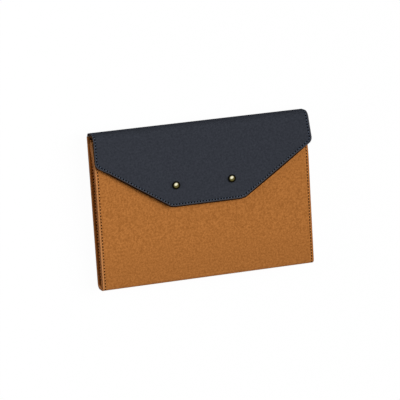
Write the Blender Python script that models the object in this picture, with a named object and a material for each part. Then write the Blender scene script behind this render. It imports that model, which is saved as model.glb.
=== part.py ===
"""Envelope-style notebook organizer, lying closed on its back.

+X is the width, +Y points to the fold of the flap and +Z out of the front. The origin is the middle of
the bounding box's bottom. The walls are bands along two bent lines, seen from the side: one for the shell,
from the mouth down the front, round the bottom and up the back, and one for the flap, from its tail on the
back over the top edge and down the front.
"""
import math

import bmesh
import bpy
from mathutils import Matrix, Vector

for old in list(bpy.data.objects):
    bpy.data.objects.remove(old, do_unlink=True)

MM = 0.001

# Sheet thicknesses, and the clearance between two pieces that touch
LEATHER = 1.4 * MM
BOARD = 0.8 * MM
LINING = 0.5 * MM
GAP = 0.3 * MM

# Shell, measured outside; heights run up the folio from its bottom, drops run down from its top fold
FOLD_HEIGHT = 172.6 * MM
SHELL_WIDTH = 246.6 * MM
SHELL_SHIFT = -1.78 * MM
BOTTOM_DEPTH = 18.2 * MM
BULGE_DEPTH = 21.3 * MM
BULGE_DROP = 40.6 * MM
MOUTH_DROP = 8.6 * MM
MOUTH_DEPTH = 11.8 * MM
BACK_BEND = 6.5 * MM
FRONT_BEND = 4.2 * MM
BULGE_BEND = 80.0 * MM

# Margins from the leather's edge, the width turned in there, and the setback of the flap's turned-in edge
BOARD_MARGIN = 6.0 * MM
LINING_MARGIN = 1.0 * MM
TURN_IN = 5.0 * MM
TURN_SETBACK = 0.2 * MM

# Flap, with its root between the back leather and its lining; the right shoulder flares out
FLAP_OVERHANG = 0.4 * MM
FLAP_SHIFT = -0.98 * MM
SHOULDER_FLARE = 2.9 * MM
FLAP_DROP = 88.7 * MM
SHOULDER_DROP_LEFT = 36.3 * MM
SHOULDER_DROP_RIGHT = 34.1 * MM
TIP_SPAN = 86.3 * MM
TIP_SHIFT = -0.48 * MM
SHOULDER_ROUND = 8.0 * MM
TIP_ROUND = 4.0 * MM
LEAST_ROUND = 1.0 * MM
FOLD_BACK_BEND = 3.5 * MM
FOLD_FRONT_BEND = 10.0 * MM
TAIL_LENGTH = 27.0 * MM

# Closure: domed studs on the flap, ring magnets behind them and discs in the front board
STUD_SPACING = 64.2 * MM
STUD_SHIFT = -2.98 * MM
STUD_RISE = 24.0 * MM
STUD_RADIUS = 4.4 * MM
STUD_RIM = 0.5 * MM
STUD_CROWN = 2.0 * MM
POST_RADIUS = 1.2 * MM
BURR_RADIUS = 2.8 * MM
BURR_THICKNESS = 0.5 * MM
MAGNET_RADIUS = 6.0 * MM

# Side gussets, folded inwards
GUSSET_SHEET = 0.8 * MM
GUSSET_FLANGE = 5.0 * MM
GUSSET_FOLD = 12.0 * MM
GUSSET_STATIONS = 9

# Slip pocket on the back lining
POCKET_SHEET = 0.8 * MM
POCKET_DROP = 68.6 * MM
POCKET_CLEAR = 3.0 * MM
POCKET_CORNER = 6.0 * MM
THUMB_RADIUS = 12.0 * MM

# Facets of each bend, each round corner and each full turn, and the least angle that stays an edge
BEND_STEPS = 10
ROUND_STEPS = 8
TURN_STEPS = 20
EDGE_ANGLE = 35.0
MERGE = 0.001 * MM
MITRE_LIMIT = 5.0

HEM = LEATHER + GAP + BOARD
WALL = HEM + GAP + LINING
HALF_SHELL = SHELL_WIDTH / 2
HALF_FLAP = HALF_SHELL + FLAP_OVERHANG
FLAP_LEFT, FLAP_RIGHT = FLAP_SHIFT - HALF_FLAP, FLAP_SHIFT + HALF_FLAP
MIDDLE = FOLD_HEIGHT / 2
MOUTH_HEIGHT = FOLD_HEIGHT - MOUTH_DROP
BULGE_HEIGHT = FOLD_HEIGHT - BULGE_DROP


def filleted(corners, radii, steps):
    """The line through the corners, with each inner corner rounded to its radius by an arc."""
    line = [Vector(corners[0])]
    for before, corner, after, radius in zip(corners, corners[1:], corners[2:], radii):
        corner = Vector(corner)
        back = (Vector(before) - corner).normalized()
        ahead = (Vector(after) - corner).normalized()
        half = back.angle(ahead) / 2
        centre = corner + (back + ahead).normalized() * (radius / math.sin(half))
        start = corner + back * (radius / math.tan(half)) - centre
        end = corner + ahead * (radius / math.tan(half)) - centre
        sweep = start.angle(end)
        for step in range(steps + 1):
            share = step / steps
            spoke = (start * math.sin((1 - share) * sweep) + end * math.sin(share * sweep)) / math.sin(sweep)
            line.append(centre + spoke)
    line.append(Vector(corners[-1]))
    return line


def offset(line, depth):
    """The line moved to its left by a depth, mitred at each point."""
    moved = []
    for i, point in enumerate(line):
        before = (point - line[i - 1]).normalized() if i else None
        after = (line[i + 1] - point).normalized() if i + 1 < len(line) else before
        before = before or after
        left = Vector((-before.y - after.y, before.x + after.x)).normalized()
        mitre = 1 / max(left.dot(Vector((-after.y, after.x))), 1 / MITRE_LIMIT)
        moved.append(point + left * (depth * mitre))
    return moved


def cut(line, start, end):
    """The stretch of a line between two stations; station 2.5 lies half way from point 2 to point 3."""

    def at(station):
        low = min(int(station), len(line) - 2)
        return line[low].lerp(line[low + 1], station - low)

    inner = [line[i] for i in range(math.floor(start) + 1, math.ceil(end))]
    return [at(start)] + inner + [at(end)]


def along(line, station, distance):
    """The station that lies a distance further along the line."""
    step = 1 if distance > 0 else -1
    left = abs(distance)
    while True:
        edge = math.floor(station) + 1 if step > 0 else math.ceil(station) - 1
        edge = min(max(edge, 0), len(line) - 1)
        low = min(int(min(station, edge)), len(line) - 2)
        unit = (line[low + 1] - line[low]).length
        reach = abs(edge - station) * unit
        if reach >= left or edge in (0, len(line) - 1):
            return station + step * left / unit
        left -= reach
        station = edge


def bend_station(number):
    """The station of the middle of a line's bend, counted from 0."""
    return 1 + number * (BEND_STEPS + 1) + BEND_STEPS / 2


def height_at(line, y):
    """The depth, along Z, at which a line crosses a height y."""
    for a, b in zip(line, line[1:]):
        if min(a.x, b.x) <= y <= max(a.x, b.x) and a.x != b.x:
            return a.y + (b.y - a.y) * (y - a.x) / (b.x - a.x)
    return line[0].y


def material(name, colour, roughness, metallic=0.0):
    """A plain finish of one colour."""
    made = bpy.data.materials.new(name)
    made.use_nodes = True
    shader = made.node_tree.nodes["Principled BSDF"]
    shader.inputs["Base Color"].default_value = (*colour, 1.0)
    shader.inputs["Roughness"].default_value = roughness
    shader.inputs["Metallic"].default_value = metallic
    return made


def hinge(name, point, parent=None):
    """An empty on a hinge line; point is its height and depth."""
    empty = bpy.data.objects.new(name, None)
    empty["place"] = (0.0, point.x - MIDDLE, point.y)
    carrier = Vector(parent["place"]) if parent else Vector((0, 0, 0))
    empty.location = Vector(empty["place"]) - carrier
    empty.parent = parent
    bpy.context.scene.collection.objects.link(empty)
    return empty


def finish(name, bm, finish_material, pivot=None, smooth=False):
    """Closes a mesh into a named object that hangs on its hinge, or on the shell."""
    bmesh.ops.remove_doubles(bm, verts=bm.verts, dist=MERGE)
    bmesh.ops.recalc_face_normals(bm, faces=bm.faces)
    place = Vector(pivot["place"]) if pivot else Vector((0, 0, 0))
    bmesh.ops.translate(bm, verts=bm.verts, vec=Vector((0, -MIDDLE, 0)) - place)
    mesh = bpy.data.meshes.new(name)
    bm.to_mesh(mesh)
    bm.free()
    mesh.materials.append(finish_material)
    if smooth:
        mesh.shade_smooth()
        mesh.set_sharp_from_angle(angle=math.radians(EDGE_ANGLE))
    made = bpy.data.objects.new(name, mesh)
    made.parent = pivot
    bpy.context.scene.collection.objects.link(made)
    return made


def strip(bm, near, far, x0, x1, open_end=False):
    """The walls of a band between two lines, from x0 to x1; returns its last row of four points."""
    rows = []
    for a, b in zip(near, far):
        rows.append([bm.verts.new((x, p.x, p.y)) for p, x in ((a, x0), (a, x1), (b, x1), (b, x0))])
    for one, two in zip(rows, rows[1:]):
        for i in range(4):
            bm.faces.new((one[i], one[(i + 1) % 4], two[(i + 1) % 4], two[i]))
    bm.faces.new(rows[0])
    if not open_end:
        bm.faces.new(rows[-1])
    return rows[-1]


def band(name, near, far, half_width, finish_material, pivot=None, middle=0.0):
    """A sheet that follows a bent line, of constant width."""
    bm = bmesh.new()
    strip(bm, near, far, middle - half_width, middle + half_width)
    return finish(name, bm, finish_material, pivot, smooth=True)


def loft(bm, rows, twisted=False):
    """Joins rows of points, each a closed loop, and closes both ends; twisted facets become triangles."""
    for one, two in zip(rows, rows[1:]):
        for i in range(len(one)):
            j = (i + 1) % len(one)
            bm.faces.new((one[i], one[j], two[j], two[i]))
    bm.faces.new(rows[0])
    bm.faces.new(rows[-1])
    if twisted:
        bmesh.ops.triangulate(bm, faces=[face for face in bm.faces if len(face.verts) == 4])


def shell_wall(name, spans, pivot=None):
    """A leather of the shell; each span has its first and last station, its depth along the sides, where
    the edge is turned in, and its depth between them."""
    left, right = SHELL_SHIFT - HALF_SHELL, SHELL_SHIFT + HALF_SHELL
    bm = bmesh.new()
    rows = []
    for start, end, side_depth, depth in spans:
        layers = [cut(offset(shell, d), start, end) for d in (0, side_depth, depth)]
        for top, side, under in zip(*layers):
            loop = [(left, top), (right, top), (right, side), (right - TURN_IN, side)]
            loop += [(right - TURN_IN, under), (left + TURN_IN, under)]
            loop += [(left + TURN_IN, side), (left, side)]
            rows.append([bm.verts.new((x, p.x, p.y)) for x, p in loop])
    loft(bm, rows)
    finish(name, bm, TAN, pivot, smooth=True)


def sheet(name, outline, low, high, finish_material, pivot=None):
    """A flat sheet with an outline of points (x, height) between two depths."""
    bm = bmesh.new()
    bottom = [bm.verts.new((p.x, p.y, low)) for p in outline]
    top = [bm.verts.new((p.x, p.y, high)) for p in outline]
    bm.faces.new(bottom)
    bm.faces.new(top)
    for i in range(len(outline)):
        j = (i + 1) % len(outline)
        bm.faces.new((bottom[i], bottom[j], top[j], top[i]))
    return finish(name, bm, finish_material, pivot)


def flap_sheet(name, near, far, outline, finish_material, pivot):
    """A sheet that comes round the fold as a strip and ends flat, in the flap's outline."""
    bm = bmesh.new()
    row = strip(bm, near, far, outline[0].x, outline[-1].x, open_end=True)
    near_rim = [row[0]] + [bm.verts.new((p.x, p.y, near[-1].y)) for p in outline[1:-1]] + [row[1]]
    far_rim = [row[3]] + [bm.verts.new((p.x, p.y, far[-1].y)) for p in outline[1:-1]] + [row[2]]
    bm.faces.new(near_rim)
    bm.faces.new(far_rim)
    for i in range(len(outline) - 1):
        bm.faces.new((near_rim[i], near_rim[i + 1], far_rim[i + 1], far_rim[i]))
    return finish(name, bm, finish_material, pivot, smooth=True)


def turned(name, profile, place, inward, finish_material, pivot=None):
    """A turned piece; profile is a closed loop of (radius, depth below the surface point place)."""
    bm = bmesh.new()
    rings = []
    for radius, depth in profile:
        angles = [2 * math.pi * k / TURN_STEPS for k in range(TURN_STEPS if radius else 1)]
        rings.append([bm.verts.new((radius * math.cos(a), radius * math.sin(a), depth)) for a in angles])
    for one, two in zip(rings, rings[1:] + rings[:1]):
        if len(one) == 1 and len(two) == 1:
            continue
        for k in range(TURN_STEPS):
            n = (k + 1) % TURN_STEPS
            corners = [one[k % len(one)], one[n % len(one)], two[n % len(two)], two[k % len(two)]]
            bm.faces.new(list(dict.fromkeys(corners)))
    turn = Vector((0, 0, 1)).rotation_difference(inward).to_matrix().to_4x4()
    bmesh.ops.transform(bm, matrix=Matrix.Translation(place) @ turn, verts=bm.verts)
    return finish(name, bm, finish_material, pivot, smooth=True)


def combine(target, tool, operation):
    """Cuts a hidden tool out of a piece, or joins it to the piece."""
    tool.hide_render = True
    tool.display_type = "WIRE"
    step = target.modifiers.new(tool.name, "BOOLEAN")
    step.operation = operation
    step.solver = "EXACT"
    step.object = tool


def drill(target, radius, place, inward, pivot=None):
    """A round hole right through a sheet."""
    profile = [(0, -WALL), (radius, -WALL), (radius, WALL), (0, WALL)]
    tool = turned(target.name + "_drill", profile, place, inward, target.data.materials[0], pivot)
    combine(target, tool, "DIFFERENCE")


TAN = material("tan_leather", (0.39, 0.144, 0.037), 0.62)
NAVY = material("navy_leather", (0.036, 0.042, 0.053), 0.55)
SUEDE = material("brown_lining", (0.2, 0.085, 0.03), 0.9)
GREYBOARD = material("grey_board", (0.35, 0.33, 0.3), 0.9)
BRASS = material("brass", (0.72, 0.52, 0.24), 0.25, 1.0)
STEEL = material("plated_steel", (0.5, 0.5, 0.5), 0.3, 1.0)

# The shell's outer line, from the mouth to the top of the back
tail_foot = FOLD_HEIGHT - TAIL_LENGTH
back_top = FOLD_HEIGHT - FOLD_BACK_BEND - GAP
shell = filleted(
    [
        (MOUTH_HEIGHT, MOUTH_DEPTH),
        (BULGE_HEIGHT, BULGE_DEPTH),
        (0, BOTTOM_DEPTH),
        (0, 0),
        (back_top, 0),
    ],
    [BULGE_BEND, FRONT_BEND, BACK_BEND],
    BEND_STEPS,
)
front_foot = bend_station(1)
board_near, board_far = offset(shell, LEATHER + GAP), offset(shell, LEATHER + GAP + BOARD)
lining_near, lining_far = offset(shell, WALL - LINING), offset(shell, WALL)
last = len(shell) - 1

# The flap's outer line, from its tail under the back leather over the fold and down the front
flap_depth = max(point.y for point in shell) + GAP + WALL
flap_foot = FOLD_HEIGHT - FLAP_DROP
fold = filleted(
    [
        (tail_foot + GAP, LEATHER),
        (FOLD_HEIGHT, LEATHER),
        (FOLD_HEIGHT, flap_depth),
        (flap_foot, flap_depth),
    ],
    [FOLD_BACK_BEND, FOLD_FRONT_BEND],
    BEND_STEPS,
)
fold_inside = offset(fold, LEATHER)
fold_lining = offset(fold, LEATHER + GAP)
fold_lining_inside = offset(fold, LEATHER + GAP + LINING)
back_fold, front_fold = bend_station(0), bend_station(1)
flat_start = front_fold + BEND_STEPS / 2

mouth_pivot = hinge("mouth_hinge", shell[int(front_foot)])
spine_pivot = hinge("lift_hinge", fold[int(back_fold)])
flap_pivot = hinge("fold_hinge", fold[int(front_fold)], spine_pivot)


# Back wall, fixed
def back_wall():
    """Back leather with the bottom fold, its board, its lining and the slip pocket."""
    shell_wall("back_leather", [(along(shell, front_foot, GAP / 2), last, HEM, LEATHER)])
    board_low = LEATHER + GAP
    board_foot = BACK_BEND + GAP
    half = HALF_SHELL - BOARD_MARGIN
    corners = [(-half, board_foot), (half, board_foot), (half, tail_foot), (-half, tail_foot)]
    outline = [Vector((x + SHELL_SHIFT, y)) for x, y in corners]
    sheet("back_board", outline, board_low, board_low + BOARD, GREYBOARD)
    lining_foot = bend_station(1) + BEND_STEPS / 2
    near, far = cut(lining_near, lining_foot, last), cut(lining_far, lining_foot, last)
    band("back_lining", near, far, HALF_SHELL - LINING_MARGIN, SUEDE, None, SHELL_SHIFT)


def slip_pocket():
    """A leather patch on the back lining, open at its top, with a thumb notch."""
    half = HALF_SHELL - GUSSET_FLANGE - GUSSET_FOLD - POCKET_CLEAR
    foot = BACK_BEND + POCKET_CLEAR
    top = FOLD_HEIGHT - POCKET_DROP
    right = [(0, foot), (half, foot), (half, top)]
    side = filleted(right, [POCKET_CORNER], ROUND_STEPS)
    angles = [math.pi * k / (2 * ROUND_STEPS) for k in range(ROUND_STEPS)]
    notch = [Vector((THUMB_RADIUS * math.cos(a), top - THUMB_RADIUS * math.sin(a))) for a in angles]
    half_outline = side[1:] + notch
    mirrored = [Vector((-p.x, p.y)) for p in reversed(half_outline)]
    lowest = Vector((0, top - THUMB_RADIUS))
    outline = [p + Vector((SHELL_SHIFT, 0)) for p in half_outline + [lowest] + mirrored]
    sheet("slip_pocket", outline, WALL + GAP, WALL + GAP + POCKET_SHEET, TAN)


# Front wall, which opens the mouth
def front_wall():
    """Front leather, its board with a hole for each magnet, its lining and the magnet discs."""
    lip = along(shell, 0, TURN_IN)
    foot = along(shell, front_foot, -GAP / 2)
    shell_wall("front_leather", [(0, lip, HEM, HEM), (lip, foot, HEM, LEATHER)], mouth_pivot)
    inner_foot = front_foot - BEND_STEPS / 2
    board_start = along(shell, 0, BOARD_MARGIN)
    board_end = along(shell, inner_foot, -GAP)
    board = band(
        "front_board",
        cut(board_near, board_start, board_end),
        cut(board_far, board_start, board_end),
        HALF_SHELL - BOARD_MARGIN,
        GREYBOARD,
        mouth_pivot,
        SHELL_SHIFT,
    )
    lining_start = along(shell, 0, LINING_MARGIN)
    band(
        "front_lining",
        cut(lining_near, lining_start, board_end),
        cut(lining_far, lining_start, board_end),
        HALF_SHELL - LINING_MARGIN,
        SUEDE,
        mouth_pivot,
        SHELL_SHIFT,
    )
    surface, inward = front_under_stud()
    for side, x in studs():
        place = Vector((x, surface.x, surface.y))
        top = LEATHER + GAP
        disc = [(0, top), (MAGNET_RADIUS, top), (MAGNET_RADIUS, top + BOARD), (0, top + BOARD)]
        turned("panel_magnet_" + side, disc, place, inward, STEEL, mouth_pivot)
        drill(board, MAGNET_RADIUS + GAP, place, inward, mouth_pivot)


def studs():
    """The side and the X of each stud."""
    return [("left", STUD_SHIFT - STUD_SPACING / 2), ("right", STUD_SHIFT + STUD_SPACING / 2)]


def front_under_stud():
    """The point of the front's outer line under the studs, and the direction into the wall there."""
    height = flap_foot + STUD_RISE
    for a, b in zip(shell, shell[1:]):
        if b.x <= height <= a.x:
            run = (b - a).normalized()
            return a.lerp(b, (a.x - height) / (a.x - b.x)), Vector((0, -run.y, run.x))
    return shell[0], Vector((0, 0, -1))


# Gussets, folded in between the walls
def gusset(side, sign):
    """A side gusset: a flange on each wall and a fold that points inwards, pinched at the mouth."""
    inside = offset(shell, WALL + GAP)
    front = [p for p in inside[: int(front_foot) + 1]]
    back = [p for p in inside[int(front_foot) :]]
    edge = sign * HALF_SHELL
    low_y = WALL + GAP + FRONT_BEND / 2
    high_y = MOUTH_HEIGHT - WALL
    bm = bmesh.new()
    rows = []
    for k in range(GUSSET_STATIONS):
        y = low_y + (high_y - low_y) * k / (GUSSET_STATIONS - 1)
        z_back = height_at(back, y) if y < BACK_BEND else WALL + GAP
        z_front = height_at(front, y)
        depth = z_front - z_back
        valley = 2 * GUSSET_SHEET * GUSSET_FOLD / depth
        ridge = GUSSET_FLANGE + GUSSET_FOLD
        pocket_side = [(0, z_back), (GUSSET_FLANGE, z_back), (ridge, z_back + depth / 2)]
        pocket_side += [(GUSSET_FLANGE, z_front), (0, z_front)]
        outside = [(0, z_front - GUSSET_SHEET), (GUSSET_FLANGE, z_front - GUSSET_SHEET)]
        outside += [(ridge - valley, z_back + depth / 2)]
        outside += [(GUSSET_FLANGE, z_back + GUSSET_SHEET), (0, z_back + GUSSET_SHEET)]
        loop = pocket_side + outside
        rows.append([bm.verts.new((edge - sign * x + SHELL_SHIFT, y, z)) for x, z in loop])
    loft(bm, rows, twisted=True)
    finish("gusset_" + side, bm, TAN)


# Flap, in the tail that is fixed, the spine over the top edge and the front
def flap_tail():
    """The flap's root: thin and narrow under the back leather, and full where it comes out at the fold."""
    half = HALF_SHELL - BOARD_MARGIN
    end = along(fold, back_fold, -GAP / 2)
    tucked = (0, 1, GAP, GAP + BOARD, SHELL_SHIFT - half, SHELL_SHIFT + half)
    bm = bmesh.new()
    rows = []
    for start, stop, near, far, left, right in (tucked, (1, end, 0, LEATHER, FLAP_LEFT, FLAP_RIGHT)):
        for a, b in zip(cut(offset(fold, near), start, stop), cut(offset(fold, far), start, stop)):
            loop = ((a, left), (a, right), (b, right), (b, left))
            rows.append([bm.verts.new((x, p.x, p.y)) for p, x in loop])
    loft(bm, rows, twisted=True)
    finish("flap_tail", bm, NAVY, smooth=True)


def flap_spine():
    """The strip over the top edge, with its lining."""
    start = along(fold, back_fold, GAP / 2)
    end = along(fold, front_fold, -GAP / 2)
    near, far = cut(fold, start, end), cut(fold_inside, start, end)
    band("spine_leather", near, far, HALF_FLAP, NAVY, spine_pivot, FLAP_SHIFT)
    near, far = cut(fold_lining, start, end), cut(fold_lining_inside, start, end)
    band("spine_lining", near, far, HALF_FLAP - LINING_MARGIN, NAVY, spine_pivot, FLAP_SHIFT)


def flap_outline(top, inset):
    """The flap's outline from its left edge round to its right, starting at a height and inset."""
    tip = TIP_SPAN / 2
    flare_top, shoulder = fold[int(flat_start)].x, FOLD_HEIGHT - SHOULDER_DROP_RIGHT
    flare = SHOULDER_FLARE * (flare_top - top) / (flare_top - shoulder)
    corners = [
        (FLAP_LEFT, top),
        (FLAP_LEFT, FOLD_HEIGHT - SHOULDER_DROP_LEFT),
        (TIP_SHIFT - tip, flap_foot),
        (TIP_SHIFT + tip, flap_foot),
        (FLAP_RIGHT + SHOULDER_FLARE, shoulder),
        (FLAP_RIGHT + flare, top),
    ]
    inner = offset([Vector(corner) for corner in corners], inset)
    rounds = [SHOULDER_ROUND, TIP_ROUND, TIP_ROUND, SHOULDER_ROUND]
    return filleted(inner, [max(radius - inset, LEAST_ROUND) for radius in rounds], ROUND_STEPS)


def flap_front():
    """Flap leather, board and lining, with the studs, their burrs and the ring magnets."""
    start = along(fold, front_fold, GAP / 2)
    near, far = cut(fold, start, flat_start), cut(fold_inside, start, flat_start)
    outline = flap_outline(near[-1].x, 0)
    leather = flap_sheet("flap_leather", near, far, outline, NAVY, flap_pivot)

    stiff_top = near[-1].x - BOARD_MARGIN
    edge, inner_edge = flap_outline(stiff_top, TURN_SETBACK), flap_outline(stiff_top, TURN_IN)
    hem_low, hem_high = flap_depth - HEM, flap_depth - LEATHER / 2
    tool = sheet("flap_hem", edge + inner_edge[::-1], hem_low, hem_high, NAVY, flap_pivot)
    combine(leather, tool, "UNION")

    board_high = flap_depth - LEATHER - GAP
    outline = flap_outline(stiff_top, BOARD_MARGIN)
    board = sheet("flap_board", outline, board_high - BOARD, board_high, GREYBOARD, flap_pivot)

    lining_high = board_high - BOARD - GAP
    ramp = stiff_top + GAP
    near = cut(fold_lining, start, flat_start) + [Vector((ramp, lining_high))]
    far = cut(fold_lining_inside, start, flat_start) + [Vector((ramp, lining_high - LINING))]
    outline = flap_outline(ramp, LINING_MARGIN)
    flap_sheet("flap_lining", near, far, outline, NAVY, flap_pivot)

    inward = Vector((0, 0, -1))
    under = LEATHER + GAP
    post_end = under + BOARD
    for side, x in studs():
        place = Vector((x, flap_foot + STUD_RISE, flap_depth))
        turned("stud_" + side, stud_profile(post_end), place, inward, BRASS, flap_pivot)
        burr = ring_profile(POST_RADIUS + GAP, BURR_RADIUS, under, BURR_THICKNESS)
        turned("stud_burr_" + side, burr, place, inward, BRASS, flap_pivot)
        magnet = ring_profile(BURR_RADIUS + GAP, MAGNET_RADIUS, under, BOARD)
        turned("flap_magnet_" + side, magnet, place, inward, STEEL, flap_pivot)
        drill(leather, POST_RADIUS + GAP, place, inward, flap_pivot)
        drill(board, MAGNET_RADIUS + GAP, place, inward, flap_pivot)


def ring_profile(inner, outer, top, thickness):
    """A flat ring under the flap's surface."""
    return [(inner, top), (outer, top), (outer, top + thickness), (inner, top + thickness)]


def stud_profile(post_end):
    """A domed head with an upright rim, on a post that reaches a depth below the leather's surface."""
    rise = STUD_CROWN - STUD_RIM
    angles = [math.pi * k / (2 * ROUND_STEPS) for k in range(ROUND_STEPS)]
    dome = [(STUD_RADIUS * math.cos(a), -GAP - STUD_RIM - rise * math.sin(a)) for a in angles]
    foot = [(0, post_end), (POST_RADIUS, post_end), (POST_RADIUS, -GAP), (STUD_RADIUS, -GAP)]
    return foot + dome + [(0, -GAP - STUD_CROWN)]


back_wall()
slip_pocket()
gusset("left", -1)
gusset("right", 1)
front_wall()
flap_tail()
flap_spine()
flap_front()
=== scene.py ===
import math

import bmesh
import bpy
import numpy as np
from mathutils import Matrix, Vector


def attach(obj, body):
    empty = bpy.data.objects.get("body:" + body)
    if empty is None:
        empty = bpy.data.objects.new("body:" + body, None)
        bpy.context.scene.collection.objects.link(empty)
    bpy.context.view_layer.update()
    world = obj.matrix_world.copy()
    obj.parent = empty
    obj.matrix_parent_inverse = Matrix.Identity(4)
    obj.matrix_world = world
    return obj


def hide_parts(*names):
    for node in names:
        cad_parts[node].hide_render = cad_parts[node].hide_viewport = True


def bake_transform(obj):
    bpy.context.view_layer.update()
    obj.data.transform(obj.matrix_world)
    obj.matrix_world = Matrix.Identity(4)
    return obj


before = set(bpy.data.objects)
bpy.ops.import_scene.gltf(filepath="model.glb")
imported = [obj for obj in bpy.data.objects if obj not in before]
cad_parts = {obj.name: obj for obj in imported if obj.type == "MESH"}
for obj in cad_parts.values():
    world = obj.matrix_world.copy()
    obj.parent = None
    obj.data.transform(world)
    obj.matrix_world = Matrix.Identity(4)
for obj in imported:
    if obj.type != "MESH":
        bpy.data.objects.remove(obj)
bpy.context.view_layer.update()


# Camera
# The folio is seen from its upper left through a long lens, a little rolled; the angles, the distance and
# the shift of the aim come from the edges of the folio in the photograph.
TURN, TILT, ROLL = math.radians(17.76), math.radians(10.52), math.radians(3.84)
DISTANCE, AIM = 2.6972, np.array([-0.00198, -0.0873, 0.0])
SIDEWAYS, UPWARDS = -0.00497, 0.08315
SENSOR_WIDTH, FOCAL_LENGTH, CLIP_END = 36.0, 219.19, 50.0

backward = np.array(
    [-math.sin(TURN) * math.cos(TILT), math.sin(TILT), math.cos(TURN) * math.cos(TILT)]
)
level_right = np.cross([0.0, 1.0, 0.0], backward)
level_right /= np.linalg.norm(level_right)
level_up = np.cross(backward, level_right)
right = math.cos(ROLL) * level_right - math.sin(ROLL) * level_up
up = math.sin(ROLL) * level_right + math.cos(ROLL) * level_up
eye = AIM + backward * DISTANCE + right * SIDEWAYS + up * UPWARDS

camera = bpy.data.objects.new("camera", bpy.data.cameras.new("camera"))
camera.data.sensor_width = SENSOR_WIDTH
camera.data.lens = FOCAL_LENGTH
camera.data.clip_end = CLIP_END
camera.matrix_world = Matrix(
    [[right[i], up[i], backward[i], eye[i]] for i in range(3)] + [[0.0, 0.0, 0.0, 1.0]]
)
bpy.context.scene.collection.objects.link(camera)
bpy.context.scene.camera = camera


# Floor and studio light
# A white table under the folio, a large far light rather low on the right, so that the left rims and the
# gaps stay dark, and a weak near one on the left. To the lens and in the metal, table and room are white.
WHITE = (1.0, 1.0, 1.0, 1.0)
TABLE_SIZE, TABLE_COLOUR = 30.0, (0.93, 0.93, 0.93, 1.0)
WHITENESS = 0.97
ROOM_LIGHT = 0.1
LIGHTS = {
    "key": {"watts": 3060.0, "size": 12.5, "place": Vector((10.38, 1.25, 9.63))},
    "fill": {"watts": 2.0, "size": 0.25, "place": Vector((-0.75, 0.14, 0.25))},
}


class Link:
    """An output of a node; + and * on it add Math nodes to the same tree."""

    def __init__(self, shading, socket):
        self.shading = shading
        self.socket = socket

    def math(self, operation, other):
        """A Math node on this output and on another or a number."""
        return self.shading.node("ShaderNodeMath", {"operation": operation}, {0: self, 1: other})

    def __add__(self, other):
        return self.math("ADD", other)

    def __mul__(self, other):
        return self.math("MULTIPLY", other)

    __radd__ = __add__
    __rmul__ = __mul__


class Shading:
    """A tree of nodes, all made by one method."""

    def __init__(self, tree):
        self.tree = tree

    def node(self, kind, settings, inputs, output=0):
        """A node with its settings made first, then its sockets, by name or number."""
        made = self.tree.nodes.new(kind)
        for setting, value in settings.items():
            setattr(made, setting, value)
        for socket, value in inputs.items():
            self.put(value, made.inputs[socket])
        return Link(self, made.outputs[output])

    def put(self, value, socket):
        """A number, a colour or a link into a socket."""
        if isinstance(value, Link):
            self.tree.links.new(value.socket, socket)
        else:
            socket.default_value = value

    def looked_at(self):
        """1 for rays of the lens, of gloss and of glass, 0 for the light itself."""
        kinds = ("Is Camera Ray", "Is Glossy Ray", "Is Transmission Ray")
        camera_ray, glossy_ray, glass_ray = (
            self.node("ShaderNodeLightPath", {}, {}, output=kind) for kind in kinds
        )
        return camera_ray + glossy_ray + glass_ray


class Finish(Shading):
    """A material with one Principled shader."""

    def __init__(self, name, **sockets):
        self.material = bpy.data.materials.new(name)
        self.material.use_nodes = True
        super().__init__(self.material.node_tree)
        self.shader = self.tree.nodes["Principled BSDF"]
        self.fill(**sockets)

    def fill(self, **sockets):
        """Numbers, colours or links into the shader's sockets, by name."""
        for socket, value in sockets.items():
            self.put(value, self.shader.inputs[socket.replace("_", " ")])

    def mix(self, share, first, second):
        """From the first colour to the second by a share."""
        colours = [c if isinstance(c, Link) else (*c, 1.0) for c in (first, second)]
        return self.node(
            "ShaderNodeMix", {"data_type": "RGBA"}, {0: share, 6: colours[0], 7: colours[1]}, output=2
        )

    def stretch(self, value, low, high):
        """0 below low, 1 above high, with an even slope between."""
        return self.node("ShaderNodeMapRange", {}, {"Value": value, "From Min": low, "From Max": high})

    def here(self):
        """The folio's own coordinates."""
        return self.node("ShaderNodeTexCoord", {}, {}, output="Object")

    def noise(self, per_metre, detail, roughness=0.5):
        """Noise with so many features to the metre."""
        sockets = {"Vector": self.here(), "Scale": per_metre, "Detail": detail, "Roughness": roughness}
        return self.node("ShaderNodeTexNoise", {}, sockets, output="Fac")

    def pebbles(self, per_metre):
        """Rounded cells, 0 in their middles."""
        sockets = {"Vector": self.here(), "Scale": per_metre, "Smoothness": 0.4}
        return self.node("ShaderNodeTexVoronoi", {"feature": "SMOOTH_F1"}, sockets)

    def attribute(self, name):
        """A number that the mesh carries at each point."""
        return self.node("ShaderNodeAttribute", {"attribute_name": name}, {}, output="Fac")

    def bump(self, height, depth, strength):
        """Relief of a depth in metres."""
        sockets = {"Height": height, "Distance": depth, "Strength": strength}
        self.fill(Normal=self.node("ShaderNodeBump", {}, sockets))


bpy.context.scene.view_settings.view_transform = "Standard"

white = Finish("white_table", Base_Color=TABLE_COLOUR, Roughness=0.9, Specular_IOR_Level=0.0)
glow = white.node("ShaderNodeEmission", {}, {"Color": WHITE, "Strength": 1.0})
lit = Link(white, white.shader.outputs[0])
surface = white.node("ShaderNodeMixShader", {}, {0: white.looked_at() * WHITENESS, 1: lit, 2: glow})
white.put(surface, white.tree.nodes["Material Output"].inputs["Surface"])

corners = TABLE_SIZE / 2 * np.array([[-1.0, -1, 0], [1, -1, 0], [1, 1, 0], [-1, 1, 0]])
mesh = bpy.data.meshes.new("table")
mesh.from_pydata(corners.tolist(), [], [(0, 1, 2, 3)])
mesh.materials.append(white.material)
table = bpy.data.objects.new("table", mesh)
bpy.context.scene.collection.objects.link(table)

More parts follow.
